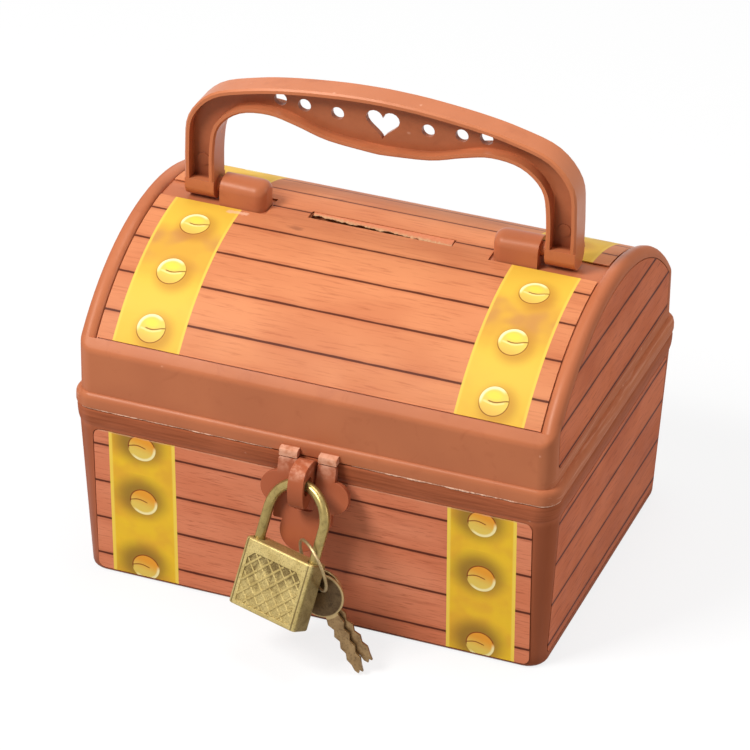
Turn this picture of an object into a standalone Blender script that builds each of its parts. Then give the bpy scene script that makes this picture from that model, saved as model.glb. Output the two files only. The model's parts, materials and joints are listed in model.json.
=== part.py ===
import bpy
import bmesh
import math
from mathutils import Matrix, Vector

# Driving dimensions in metres, angles in degrees
MM = 0.001
CLEARANCE = 0.0003

# Base tub
BASE_HALF_LENGTH = 0.0670
BASE_HALF_DEPTH = 0.0504
BASE_HEIGHT = 0.0532
BASE_SIDE_DRAFT = 0.0450
BASE_FRONT_DRAFT = 0.0384
BASE_CORNER_RADIUS = 0.0056
BASE_FOOT_EDGE = 0.0013
BASE_WALL = 0.0017
BASE_FLOOR = 0.0022
FLANGE_HEIGHT = 0.0056
FLANGE_REACH_X = 0.0005
FLANGE_REACH_Y = 0.0004

# Lid
LID_INSET_X = 0.0016
LID_INSET_Y = 0.0011
LID_WALL = 0.0017
LID_SHOULDER_RADIUS = 0.0030
LID_CORNER_RADIUS = 0.0042
LID_END_ROUND = 0.0022
BEAD_HEIGHT = 0.0046
DOME_RADIUS = 0.0643
DOME_AXIS_DROP = 0.0206
DOME_PANEL_DEPTH = 0.0016
DOME_PANEL_MARGIN = 0.0029
DOME_RIM_WIDTH = 0.00455
SLOT_HALF_LENGTH = 0.0207
SLOT_HALF_WIDTH = 0.0018
SLOT_Y = 0.0

# Printed labels
LABEL_THICKNESS = 0.0003
LABEL_GAP = 0.00025
LABEL_CORNER = 0.0020
FRONT_LABEL_HALF_LENGTH = 0.0634
FRONT_LABEL_SHIFT = 0.0001
FRONT_LABEL_LOW = 0.0012
END_LABEL_HALF_LENGTH = 0.0458
END_LABEL_LOW = 0.0030
LABEL_TOP_MARGIN = 0.0005
LID_LABEL_MARGIN = 0.0056
LID_LABEL_ARC_MARGIN = 0.0031
LID_LABEL_LOW = 0.0085

# Rear hinge
HINGE_HALF_SPACING = 0.0380
HINGE_OFFSET = 0.0024
KNUCKLE_RADIUS = 0.0020
KNUCKLE_WIDTH = 0.0040
LID_KNUCKLE_WIDTH = 0.0072
HINGE_PIN_RADIUS = 0.0008

# Carry handle
HANDLE_Y = 0.0
HANDLE_HALF_WIDTH = 0.0566
HANDLE_LIMB = 0.0086
HANDLE_HEIGHT = 0.0369
HANDLE_GRIP_HEIGHT = 0.0164
HANDLE_HALF_DEPTH = 0.0041
HANDLE_RIB = 0.0014
HANDLE_WEB = 0.0008
HANDLE_HOLE_RADIUS = 0.00185
HANDLE_HOLE_PLACES = (0.0130, 0.0226, 0.0296)
HANDLE_HOLE_RISES = (0.0003, 0.0008, 0.0013)
HEART_SIZE = 0.0097
LUG_LENGTH = 0.0132
LUG_RADIUS = 0.0043
LUG_TOP = 0.0034
LUG_RISE = 0.0029
LUG_GAP = 0.0018
STUD_RADIUS = 0.0020
STUD_LENGTH = 0.0062

# Hasp and staple
LOCK_X = 0.0008
STAPLE_HALF_WIDTH = 0.0022
STAPLE_REACH = 0.01128
STAPLE_HEIGHT = 0.01215
STAPLE_HOLE_REACH = 0.0072
STAPLE_HOLE_DROP = 0.0042
HASP_TILT = 14.0
HASP_THICKNESS = 0.0017
HASP_LENGTH = 0.0256
HASP_HALF_WIDTH = 0.0083
HASP_SLOT_HALF_WIDTH = 0.0030
HASP_SIDE_LOBE = 0.0046
HASP_LOBE_SPACING = 0.0109
HASP_END_LOBE = 0.0060

# Padlock with its ring and keys
PADLOCK_YAW = -18.3
PADLOCK_PITCH = -24.2
CASE_HALF_WIDTH = 0.0117
CASE_HALF_HEIGHT = 0.00945
CASE_HALF_DEPTH = 0.00345
SHACKLE_HALF_SPAN = 0.0095
SHACKLE_RADIUS = 0.00145
SHACKLE_STRAIGHT = 0.0090
SHACKLE_LONG_LEG = 0.0145
SHACKLE_SHORT_LEG = 0.0046
PLUG_RADIUS = 0.0023
PLUG_LENGTH = 0.0054
KEY_RING_RADIUS = 0.00742
KEY_RING_WIRE = 0.00045
KEY_RING_TIP = 55.94
KEY_RING_TURN = 60.99
KEY_BOW_RADIUS = 0.0062
KEY_BLADE_LENGTH = 0.0174
KEY_THICKNESS = 0.0009
KEY_HOLE_RADIUS = 0.0020
KEY_RIM = 0.0012

# Sizes that follow from the driving dimensions
rim_half_length = BASE_HALF_LENGTH + BASE_SIDE_DRAFT * BASE_HEIGHT + FLANGE_REACH_X
rim_half_depth = BASE_HALF_DEPTH + BASE_FRONT_DRAFT * BASE_HEIGHT + FLANGE_REACH_Y
lid_bottom = BASE_HEIGHT + CLEARANCE
lid_half_length = rim_half_length - LID_INSET_X
lid_half_depth = rim_half_depth - LID_INSET_Y
dome_axis = lid_bottom - DOME_AXIS_DROP
panel_radius = DOME_RADIUS - DOME_PANEL_DEPTH
panel_end = lid_half_length - DOME_RIM_WIDTH
recess_depth = LABEL_GAP + LABEL_THICKNESS
hinge_y = rim_half_depth + HINGE_OFFSET
hinge_z = BASE_HEIGHT + CLEARANCE / 2
handle_pivot = dome_axis + DOME_RADIUS + LUG_RISE
handle_inner = HANDLE_HALF_WIDTH - HANDLE_LIMB
lug_outer = handle_inner - LUG_GAP
lug_inner = lug_outer - LUG_LENGTH
staple_hole_y = -rim_half_depth - STAPLE_HOLE_REACH
staple_hole_z = BASE_HEIGHT - STAPLE_HOLE_DROP
tab_half_width = 0.0026

for old in list(bpy.data.objects):
    bpy.data.objects.remove(old, do_unlink=True)


def material(name, colour, metallic=0.0, roughness=0.4):
    mat = bpy.data.materials.new(name)
    mat.use_nodes = True
    shader = mat.node_tree.nodes["Principled BSDF"]
    shader.inputs["Base Color"].default_value = (*colour, 1.0)
    shader.inputs["Metallic"].default_value = metallic
    shader.inputs["Roughness"].default_value = roughness
    mat.diffuse_color = (*colour, 1.0)
    return mat


PLASTIC = material("brown_plastic", (0.42, 0.13, 0.055), 0.0, 0.35)
PRINT = material("plank_print", (0.62, 0.20, 0.09), 0.0, 0.45)
BRASS = material("brass", (0.55, 0.42, 0.18), 1.0, 0.35)
STEEL = material("steel", (0.55, 0.54, 0.50), 1.0, 0.3)


# Shape helpers
def add_mesh(name, verts, faces):
    mesh = bpy.data.meshes.new(name)
    mesh.from_pydata([tuple(v) for v in verts], [], faces)
    bm = bmesh.new()
    bm.from_mesh(mesh)
    bmesh.ops.remove_doubles(bm, verts=bm.verts, dist=1e-7)
    bmesh.ops.recalc_face_normals(bm, faces=bm.faces)
    bm.to_mesh(mesh)
    bm.free()
    obj = bpy.data.objects.new(name, mesh)
    bpy.context.scene.collection.objects.link(obj)
    return obj


def loft(name, rings, cyclic=False):
    count = len(rings[0])
    verts = [p for ring in rings for p in ring]
    faces = []
    last = len(rings) if cyclic else len(rings) - 1
    for i in range(last):
        a = i * count
        b = ((i + 1) % len(rings)) * count
        for j in range(count):
            k = (j + 1) % count
            faces.append((a + j, a + k, b + k, b + j))
    if not cyclic:
        end = (len(rings) - 1) * count
        faces.append(tuple(range(count)))
        faces.append(tuple(end + j for j in reversed(range(count))))
    return add_mesh(name, verts, faces)


def combine(target, tools, operation):
    for tool in tools:
        mod = target.modifiers.new("combine", "BOOLEAN")
        mod.operation = operation
        mod.solver = "EXACT"
        mod.object = tool
        bpy.context.view_layer.update()
        graph = bpy.context.evaluated_depsgraph_get()
        mesh = bpy.data.meshes.new_from_object(target.evaluated_get(graph))
        target.modifiers.clear()
        old_mesh = target.data
        target.data = mesh
        mesh.name = target.name
        bpy.data.meshes.remove(old_mesh)
        bpy.data.objects.remove(tool, do_unlink=True)
    return target


def finish(obj, mat, frame=None, sharp=32.0):
    mesh = obj.data
    mesh.materials.clear()
    mesh.materials.append(mat)
    bm = bmesh.new()
    bm.from_mesh(mesh)
    bmesh.ops.remove_doubles(bm, verts=bm.verts, dist=2e-6)
    bmesh.ops.dissolve_degenerate(bm, edges=bm.edges, dist=2e-6)
    bmesh.ops.recalc_face_normals(bm, faces=bm.faces)
    for face in bm.faces:
        face.material_index = 0
        face.smooth = True
    bm.to_mesh(mesh)
    bm.free()
    mesh.set_sharp_from_angle(angle=math.radians(sharp))
    if frame is not None:
        mesh.transform(Matrix.Translation(-frame.location))
        obj.parent = frame
    return obj


def empty(name, location, rotation=(0.0, 0.0, 0.0), parent=None):
    obj = bpy.data.objects.new(name, None)
    obj.location = location
    obj.rotation_euler = rotation
    obj.empty_display_size = 0.01
    obj.parent = parent
    bpy.context.scene.collection.objects.link(obj)
    return obj


def rounded_rect(half_x, half_y, radius, z, steps=6):
    points = []
    for sx, sy, start in ((1, 1, 0), (-1, 1, 90), (-1, -1, 180), (1, -1, 270)):
        cx = sx * (half_x - radius)
        cy = sy * (half_y - radius)
        for i in range(steps + 1):
            a = math.radians(start + 90.0 * i / steps)
            points.append(Vector((cx + radius * math.cos(a), cy + radius * math.sin(a), z)))
    return points


def rounded_outline(u0, u1, v0, v1, radius, steps=4):
    centre_u = (u0 + u1) / 2
    centre_v = (v0 + v1) / 2
    ring = rounded_rect((u1 - u0) / 2, (v1 - v0) / 2, radius, 0.0, steps)
    return [(centre_u + p.x, centre_v + p.y) for p in ring]


def circle_outline(cu, cv, radius, count=28):
    angles = [2 * math.pi * i / count for i in range(count)]
    return [(cu + radius * math.cos(a), cv + radius * math.sin(a)) for a in angles]


def smooth_outline(knots, steps, closed=False):
    count = len(knots)
    points = []
    for i in range(count if closed else count - 1):
        if closed:
            p0, p1, p2, p3 = [knots[(i + k) % count] for k in (-1, 0, 1, 2)]
        else:
            p0, p1, p2, p3 = [knots[min(max(i + k, 0), count - 1)] for k in (-1, 0, 1, 2)]
        for j in range(steps):
            t = j / steps
            point = []
            for a, b, c, d in zip(p0, p1, p2, p3):
                cubic = (3 * b - a - 3 * c + d) * t ** 3
                square = (2 * a - 5 * b + 4 * c - d) * t ** 2
                point.append(0.5 * (2 * b + (c - a) * t + square + cubic))
            points.append(tuple(point))
    if not closed:
        points.append(tuple(knots[-1]))
    return points


def slab(name, outline, origin, u_axis, v_axis, normal, low, high):
    rings = []
    for depth in (low, high):
        rings.append([origin + u_axis * u + v_axis * v + normal * depth for u, v in outline])
    return loft(name, rings)


def box(name, low, high):
    x0, y0, z0 = low
    x1, y1, z1 = high
    corners = ((x0, y0), (x1, y0), (x1, y1), (x0, y1))
    return loft(name, [[Vector((x, y, z)) for x, y in corners] for z in (z0, z1)])


def prism_x(name, profile_yz, x0, x1):
    return loft(name, [[Vector((x, y, z)) for y, z in profile_yz] for x in (x0, x1)])


def rod(name, start, end, radius, segments=20):
    start = Vector(start)
    end = Vector(end)
    axis = (end - start).normalized()
    side = axis.orthogonal().normalized()
    other = axis.cross(side)
    rings = []
    for centre in (start, end):
        circle = circle_outline(0.0, 0.0, radius, segments)
        rings.append([centre + side * u + other * v for u, v in circle])
    return loft(name, rings)


def rod_x(name, x0, x1, y, z, radius, segments=20):
    return rod(name, (x0, y, z), (x1, y, z), radius, segments)


def sweep(name, path, radius, segments, normal, cyclic=False):
    rings = []
    count = len(path)
    for i, p in enumerate(path):
        if cyclic:
            tangent = (path[(i + 1) % count] - path[i - 1]).normalized()
        else:
            tangent = (path[min(i + 1, count - 1)] - path[max(i - 1, 0)]).normalized()
        side = tangent.cross(normal).normalized()
        circle = circle_outline(0.0, 0.0, radius, segments)
        rings.append([p + side * u + normal * v for u, v in circle])
    return loft(name, rings, cyclic)


# Base tub: foot edge, drafted walls, flange, then down the inside
def tub_ring(z, grow_x, grow_y, radius):
    half_x = BASE_HALF_LENGTH + BASE_SIDE_DRAFT * z + grow_x
    half_y = BASE_HALF_DEPTH + BASE_FRONT_DRAFT * z + grow_y
    return rounded_rect(half_x, half_y, radius, z)


flange_z = BASE_HEIGHT - FLANGE_HEIGHT
rings = []
for angle in (0, 35, 65, 90):
    drop = BASE_FOOT_EDGE * (1 - math.sin(math.radians(angle)))
    height = BASE_FOOT_EDGE * (1 - math.cos(math.radians(angle)))
    rings.append(tub_ring(height, -drop, -drop, BASE_CORNER_RADIUS - drop))
for rise, reach in ((0.0, 0.0), (0.12, 0.35), (0.30, 0.80), (0.60, 1.0), (0.90, 1.0)):
    z = flange_z + FLANGE_HEIGHT * rise
    radius = BASE_CORNER_RADIUS + FLANGE_REACH_X * reach
    rings.append(tub_ring(z, FLANGE_REACH_X * reach, FLANGE_REACH_Y * reach, radius))
rings.append(tub_ring(BASE_HEIGHT, FLANGE_REACH_X * 0.4, FLANGE_REACH_Y * 0.4, BASE_CORNER_RADIUS))
inner_radius = BASE_CORNER_RADIUS * 0.7
rings.append(tub_ring(BASE_HEIGHT, -BASE_WALL, -BASE_WALL, inner_radius))
rings.append(tub_ring(BASE_FLOOR + 0.4 * MM, -BASE_WALL, -BASE_WALL, inner_radius))
rings.append(tub_ring(BASE_FLOOR, -BASE_WALL - 0.4 * MM, -BASE_WALL - 0.4 * MM, inner_radius))
base = loft("base_tub", rings)

# Staple that carries the padlock, on the front of the flange
staple_knots = [
    (-0.10, 0.835), (0.06, 0.835), (0.13, 0.91), (0.31, 0.985), (0.57, 1.00), (0.86, 0.90),
    (1.00, 0.52), (0.92, 0.12), (0.75, 0.00), (0.58, 0.03), (0.26, 0.26), (-0.10, 0.56),
]
staple_low = BASE_HEIGHT + 1.65 * MM - STAPLE_HEIGHT
staple_outline = []
for u, v in smooth_outline(staple_knots, 3):
    staple_outline.append((-rim_half_depth - STAPLE_REACH * u, staple_low + STAPLE_HEIGHT * v))
tools = [prism_x("staple", staple_outline, LOCK_X - STAPLE_HALF_WIDTH, LOCK_X + STAPLE_HALF_WIDTH)]

# Outer knuckles of the two rear hinges
knuckle_inner = LID_KNUCKLE_WIDTH / 2 + CLEARANCE + 0.1 * MM
knuckle_outer = knuckle_inner + KNUCKLE_WIDTH
base_web = [
    (rim_half_depth - 0.5 * MM, hinge_z - KNUCKLE_RADIUS * 1.15),
    (hinge_y, hinge_z - KNUCKLE_RADIUS * 0.95),
    (hinge_y, BASE_HEIGHT - 0.2 * MM),
    (rim_half_depth - 0.5 * MM, BASE_HEIGHT - 0.2 * MM),
]
for side in (-1, 1):
    for sign in (-1, 1):
        xs = sorted(side * HINGE_HALF_SPACING + sign * x for x in (knuckle_inner, knuckle_outer))
        tools.append(rod_x("knuckle", xs[0], xs[1], hinge_y, hinge_z, KNUCKLE_RADIUS, 28))
        tools.append(prism_x("web", base_web, xs[0], xs[1]))
combine(base, tools, "UNION")

# Label frames on the four walls: origin, length axis, height axis, outward normal
side_angle = math.atan(BASE_SIDE_DRAFT)
front_angle = math.atan(BASE_FRONT_DRAFT)
base_panels = {}
for name, sign in (("label_front", -1), ("label_back", 1)):
    base_panels[name] = (
        Vector((0, sign * BASE_HALF_DEPTH, 0)),
        Vector((-sign, 0, 0)),
        Vector((0, sign * math.sin(front_angle), math.cos(front_angle))),
        Vector((0, sign * math.cos(front_angle), -math.sin(front_angle))),
        FRONT_LABEL_HALF_LENGTH,
        FRONT_LABEL_SHIFT,
        FRONT_LABEL_LOW,
    )
for name, sign in (("label_left", -1), ("label_right", 1)):
    base_panels[name] = (
        Vector((sign * BASE_HALF_LENGTH, 0, 0)),
        Vector((0, sign, 0)),
        Vector((sign * math.sin(side_angle), 0, math.cos(side_angle))),
        Vector((sign * math.cos(side_angle), 0, -math.sin(side_angle))),
        END_LABEL_HALF_LENGTH,
        0.0,
        END_LABEL_LOW,
    )


def panel_slab(name, label, grow, low, high):
    origin, u_axis, v_axis, normal, half_length, shift, bottom = base_panels[label]
    u0 = shift - half_length - grow
    u1 = shift + half_length + grow
    v1 = flange_z - LABEL_TOP_MARGIN + grow
    outline = rounded_outline(u0, u1, bottom - grow, v1, LABEL_CORNER + grow)
    return slab(name, outline, origin, u_axis, v_axis, normal, low, high)


tools = [panel_slab("recess", label, LABEL_GAP, -recess_depth, 2 * MM) for label in base_panels]
hole = rounded_outline(
    staple_hole_y - 2.65 * MM,
    staple_hole_y + 2.65 * MM,
    staple_hole_z - 2.2 * MM,
    staple_hole_z + 2.2 * MM,
    1.6 * MM,
)
reach = STAPLE_HALF_WIDTH + 2 * MM
tools.append(prism_x("shackle_hole", hole, LOCK_X - reach, LOCK_X + reach))
bore_radius = HINGE_PIN_RADIUS + CLEARANCE
for side in (-1, 1):
    x0 = side * HINGE_HALF_SPACING - knuckle_outer - 2 * MM
    x1 = side * HINGE_HALF_SPACING + knuckle_outer + 2 * MM
    tools.append(rod_x("bore", x0, x1, hinge_y, hinge_z, bore_radius))
combine(base, tools, "DIFFERENCE")
finish(base, PLASTIC)

for label in base_panels:
    finish(panel_slab(label, label, 0.0, -LABEL_THICKNESS, 0.0), PRINT)

# Hinge pins
for side, name in ((-1, "hinge_pin_left"), (1, "hinge_pin_right")):
    x0 = side * HINGE_HALF_SPACING - knuckle_outer + 0.2 * MM
    x1 = side * HINGE_HALF_SPACING + knuckle_outer - 0.2 * MM
    finish(rod_x(name, x0, x1, hinge_y, hinge_z, HINGE_PIN_RADIUS, 16), STEEL)


# Domed lid from vault sections along its length
def shoulder(half_width, rim_radius, fillet):
    rise = math.sqrt((rim_radius - fillet) ** 2 - (half_width - fillet) ** 2)
    return rise, math.atan2(half_width - fillet, rise)


shoulder_angle = shoulder(lid_half_depth, DOME_RADIUS, LID_SHOULDER_RADIUS)[1]
panel_angle = shoulder_angle - DOME_PANEL_MARGIN / DOME_RADIUS


def vault_section(x, half_width, rim_radius, crown_radius, fillet, bottom_z):
    rise, tangent = shoulder(half_width, rim_radius, fillet)
    crown_angle = min(panel_angle, tangent - math.radians(0.4))
    lip_angle = crown_angle + math.radians(0.15)
    half = [(half_width, bottom_z)]
    for i in range(6):
        a = (math.pi / 2) * (1 - i / 5) + tangent * (i / 5)
        y = half_width - fillet + fillet * math.sin(a)
        half.append((y, dome_axis + rise + fillet * math.cos(a)))
    for a in ((tangent + lip_angle) / 2, lip_angle):
        half.append((rim_radius * math.sin(a), dome_axis + rim_radius * math.cos(a)))
    arc = []
    for i in range(29):
        a = crown_angle * (1 - 2 * i / 28)
        arc.append((crown_radius * math.sin(a), dome_axis + crown_radius * math.cos(a)))
    profile = half + arc + [(-y, z) for y, z in reversed(half)]
    return [Vector((x, y, z)) for y, z in profile]


def vault(name, sections, fillet, bottom_z):
    stations = [(-x, *rest) for x, *rest in reversed(sections)] + sections
    return loft(name, [vault_section(*station, fillet, bottom_z) for station in stations])


def lid_width(x):
    past = max(0.0, x - (lid_half_length - LID_CORNER_RADIUS))
    sag = LID_CORNER_RADIUS - math.sqrt(max(0.0, LID_CORNER_RADIUS ** 2 - past ** 2))
    return lid_half_depth - sag


lid_sections = []
round_start = lid_half_length - LID_END_ROUND
for t in (0.0, 0.06, 0.24, 0.55, 1.0):
    x = panel_end + (round_start - panel_end) * t
    crown = panel_radius + DOME_PANEL_DEPTH * math.sqrt(1 - (1 - t) ** 2)
    lid_sections.append((x, lid_width(x), DOME_RADIUS, crown))
for i in range(1, 5):
    a = math.radians(90.0 * i / 4)
    x = round_start + LID_END_ROUND * math.sin(a)
    radius = DOME_RADIUS - LID_END_ROUND * (1 - math.cos(a))
    lid_sections.append((x, lid_width(x), radius, radius))
lid = vault("lid_shell", lid_sections, LID_SHOULDER_RADIUS, lid_bottom)

# Bead around the lid's lower edge
bead_rings = []
bead_profile = (
    (0.0, 0.72), (0.06, 0.97), (0.18, 1.05), (0.60, 1.05), (0.80, 0.88), (0.94, 0.45),
    (1.0, -0.1), (1.0, -0.6), (0.0, -0.6),
)
for rise, reach in bead_profile:
    half_x = lid_half_length + LID_INSET_X * reach
    half_y = lid_half_depth + LID_INSET_Y * reach
    radius = LID_CORNER_RADIUS + (BASE_CORNER_RADIUS - LID_CORNER_RADIUS) * reach
    bead_rings.append(rounded_rect(half_x, half_y, radius, lid_bottom + BEAD_HEIGHT * rise))
tools = [loft("bead", bead_rings, True)]

# Two tabs that the hasp's straps hang from
tab_low = BASE_HEIGHT + 0.5 * MM
hasp_top_y = -rim_half_depth - 2.3 * MM
hasp_top_z = tab_low - CLEARANCE
strap_centre = (HASP_HALF_WIDTH + HASP_SLOT_HALF_WIDTH) / 2
tab_profile = [
    (-rim_half_depth + 0.5 * MM, tab_low + 2.25 * MM),
    (hasp_top_y + 0.9 * MM, tab_low + 2.15 * MM),
    (hasp_top_y + 0.3 * MM, tab_low + 1.85 * MM),
    (hasp_top_y, tab_low + 1.25 * MM),
    (hasp_top_y, tab_low),
    (-rim_half_depth + 0.5 * MM, tab_low),
]
for side in (-1, 1):
    middle = LOCK_X + side * strap_centre
    tools.append(prism_x("tab", tab_profile, middle - tab_half_width, middle + tab_half_width))


# Rounded lugs on the dome that hold the handle's studs
def lug_solid(side):
    nose = LUG_LENGTH * 0.23
    stations = [(lug_outer, 1.0), (lug_inner + nose, 1.0)]
    for i in range(1, 7):
        a = math.radians(84.0 * i / 6)
        stations.append((lug_inner + nose - nose * math.sin(a), math.cos(a)))
    foot_z = handle_pivot - LUG_RADIUS - 0.4 * MM
    rings = []
    for x, scale in stations:
        r = LUG_RADIUS * (0.35 + 0.65 * scale)
        height = LUG_TOP * (0.45 + 0.55 * scale)
        ring = [Vector((side * x, HANDLE_Y + r, foot_z))]
        for i in range(13):
            a = math.pi * i / 12
            y = HANDLE_Y + r * math.cos(a)
            ring.append(Vector((side * x, y, handle_pivot + height * math.sin(a))))
        ring.append(Vector((side * x, HANDLE_Y - r, foot_z)))
        rings.append(ring)
    return loft("lug", rings)


lid_web = [
    (rim_half_depth - 0.4 * MM, lid_bottom + 0.3 * MM),
    (hinge_y, lid_bottom + 0.3 * MM),
    (hinge_y, hinge_z + KNUCKLE_RADIUS * 0.98),
    (rim_half_depth - 0.4 * MM, hinge_z + KNUCKLE_RADIUS * 1.17),
]
for side in (-1, 1):
    tools.append(lug_solid(side))
    x0 = side * HINGE_HALF_SPACING - LID_KNUCKLE_WIDTH / 2
    x1 = side * HINGE_HALF_SPACING + LID_KNUCKLE_WIDTH / 2
    tools.append(rod_x("knuckle", x0, x1, hinge_y, hinge_z, KNUCKLE_RADIUS, 28))
    tools.append(prism_x("web", lid_web, x0, x1))
combine(lid, tools, "UNION")

# Hollow of the lid, coin slot, bores and end recesses
cavity_end = lid_half_length - LID_WALL
cavity_width = lid_half_depth - LID_WALL
cavity_radius = panel_radius - LID_WALL
cavity_sections = [
    (cavity_end - 2.1 * MM, cavity_width, cavity_radius, cavity_radius),
    (cavity_end - 0.8 * MM, cavity_width - 0.4 * MM, cavity_radius - 0.2 * MM, cavity_radius - 0.2 * MM),
    (cavity_end, cavity_width - 1.7 * MM, cavity_radius - 0.8 * MM, cavity_radius - 0.8 * MM),
]
tools = [vault("cavity", cavity_sections, LID_SHOULDER_RADIUS - 1.5 * MM, BASE_HEIGHT - 10 * MM)]
dome_top = dome_axis + DOME_RADIUS
slot_low = (-SLOT_HALF_LENGTH, SLOT_Y - SLOT_HALF_WIDTH, dome_top - 12 * MM)
slot_high = (SLOT_HALF_LENGTH, SLOT_Y + SLOT_HALF_WIDTH, dome_top + 2 * MM)
tools.append(box("slot", slot_low, slot_high))
stud_end = handle_inner - STUD_LENGTH
for side in (-1, 1):
    xs = sorted((side * (stud_end - 2 * CLEARANCE), side * (lug_outer + 2 * MM)))
    tools.append(rod_x("stud_bore", xs[0], xs[1], HANDLE_Y, handle_pivot, STUD_RADIUS + CLEARANCE, 24))
    x0 = side * HINGE_HALF_SPACING - knuckle_outer - 2 * MM
    x1 = side * HINGE_HALF_SPACING + knuckle_outer + 2 * MM
    tools.append(rod_x("bore", x0, x1, hinge_y, hinge_z, bore_radius))


def end_outline(grow):
    radius = DOME_RADIUS - LID_LABEL_ARC_MARGIN + grow
    half = lid_half_depth - LID_LABEL_MARGIN + grow
    floor = lid_bottom + LID_LABEL_LOW - grow
    top = math.asin(half / radius)
    points = []
    for i in range(25):
        a = top * (1 - 2 * i / 24)
        points.append((radius * math.sin(a), dome_axis + radius * math.cos(a)))
    for centre, start in ((LABEL_CORNER - half, 180), (half - LABEL_CORNER, 270)):
        for i in range(5):
            a = math.radians(start + 90.0 * i / 4)
            u = centre + LABEL_CORNER * math.cos(a)
            points.append((u, floor + LABEL_CORNER + LABEL_CORNER * math.sin(a)))
    return points


def end_slab(name, side, grow, low, high):
    origin = Vector((side * lid_half_length, 0, 0))
    normal = Vector((side, 0, 0))
    u_axis = Vector((0, side, 0))
    return slab(name, end_outline(grow), origin, u_axis, Vector((0, 0, 1)), normal, low, high)


for side in (-1, 1):
    tools.append(end_slab("recess", side, LABEL_GAP, -recess_depth, 2 * MM))
combine(lid, tools, "DIFFERENCE")
lid_axis = empty("lid_axis", (0.0, hinge_y, hinge_z))
finish(lid, PLASTIC, lid_axis)

finish(end_slab("label_lid_right", 1, 0.0, -LABEL_THICKNESS, 0.0), PRINT, lid_axis)
finish(end_slab("label_lid_left", -1, 0.0, -LABEL_THICKNESS, 0.0), PRINT, lid_axis)

# Dome label, one sheet with cuts for the slot and the handle's feet
dome_angle = panel_angle - 1.5 * LABEL_GAP / panel_radius
sheet = []
for radius, order in ((panel_radius + recess_depth, 1), (panel_radius + LABEL_GAP, -1)):
    for i in range(41):
        a = order * dome_angle * (1 - 2 * i / 40)
        sheet.append((radius * math.sin(a), dome_axis + radius * math.cos(a)))
dome_label = prism_x("label_dome", sheet, LABEL_GAP - panel_end, panel_end - LABEL_GAP)
margin = Vector((CLEARANCE, CLEARANCE / 2, 0))
tools = [box("slot", Vector(slot_low) - margin, Vector(slot_high) + margin)]
for side in (-1, 1):
    xs = sorted((side * (lug_inner - 2 * CLEARANCE), side * lid_half_length))
    half = LUG_RADIUS + 1.5 * CLEARANCE
    low = (xs[0], HANDLE_Y - half, dome_top - 8 * MM)
    tools.append(box("notch", low, (xs[1], HANDLE_Y + half, dome_top + 2 * MM)))
combine(dome_label, tools, "DIFFERENCE")
finish(dome_label, PRINT, lid_axis)

# Carry handle, a ribbed bail standing upright on its two studs
w = HANDLE_HALF_WIDTH / MM
n = handle_inner / MM
top = (handle_pivot + HANDLE_HEIGHT) / MM
grip = top - HANDLE_GRIP_HEIGHT / MM
foot_top = handle_pivot / MM + 0.7
outer_knots = [
    (w, foot_top), (w, top - 24.9), (w - 1.1, top - 15.4), (w - 7.6, top - 7.8),
    (w - 18.6, top - 4.1), (w * 0.46, top - 1.9), (w * 0.20, top - 0.4), (0.0, top),
]
inner_knots = [
    (n, foot_top), (n - 0.1, grip - 8.5), (n - 1.7, grip - 0.9), (n - 7.6, grip + 4.2),
    (n - 16.0, grip + 5.5), (n - 23.9, grip + 3.9), (n * 0.30, grip + 1.2), (0.0, grip),
]


def full_curve(knots, steps):
    half = [Vector((x * MM, 0, z * MM)) for x, z in smooth_outline(knots, steps)]
    half[-2].z = (half[-3].z + 2 * half[-1].z) / 3
    return half + [Vector((-p.x, 0, p.z)) for p in reversed(half[:-1])]


def offset_curve(curve, distance):
    moved = []
    for i, p in enumerate(curve):
        tangent = (curve[min(i + 1, len(curve) - 1)] - curve[max(i - 1, 0)]).normalized()
        moved.append(p + Vector((-tangent.z, 0, tangent.x)) * distance)
    return moved


edge = 0.5 * MM
outer_curve = full_curve(outer_knots, 4)
inner_curve = full_curve(inner_knots, 4)
outer_soft = offset_curve(outer_curve, edge)
inner_soft = offset_curve(inner_curve, -edge)
outer_rib = offset_curve(outer_curve, HANDLE_RIB)
inner_rib = offset_curve(inner_curve, -HANDLE_RIB)
d = HANDLE_HALF_DEPTH
sections = []
for i in range(len(outer_curve)):
    front = [
        (outer_soft[i], d), (outer_rib[i], d), (outer_rib[i], HANDLE_WEB),
        (inner_rib[i], HANDLE_WEB), (inner_rib[i], d), (inner_soft[i], d),
    ]
    right = [(outer_curve[i], edge - d), (outer_curve[i], d - edge)]
    left = [(inner_curve[i], d - edge), (inner_curve[i], edge - d)]
    points = right + front + left + [(p, -y) for p, y in reversed(front)]
    sections.append([Vector((p.x, HANDLE_Y + y, p.z)) for p, y in points])
handle = loft("handle", sections)

tools = []
foot = [(HANDLE_Y + d, handle_pivot + 2.1 * MM), (HANDLE_Y - d, handle_pivot + 2.1 * MM)]
for i in range(13):
    a = math.pi + math.pi * i / 12
    foot.append((HANDLE_Y + d * math.cos(a), handle_pivot + d * math.sin(a)))
for side in (-1, 1):
    xs = sorted((side * handle_inner, side * HANDLE_HALF_WIDTH))
    tools.append(prism_x("foot", foot, xs[0], xs[1]))
    xs = sorted((side * stud_end, side * (handle_inner + 1 * MM)))
    tools.append(rod_x("stud", xs[0], xs[1], HANDLE_Y, handle_pivot, STUD_RADIUS, 24))
    pad = Vector((side * (handle_inner + HANDLE_LIMB / 2), HANDLE_Y, handle_pivot + 7.2 * MM))
    tools.append(rod("pad", pad - Vector((0, HANDLE_WEB + 0.25 * MM, 0)), pad, 1.87 * MM))
combine(handle, tools, "UNION")

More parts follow.
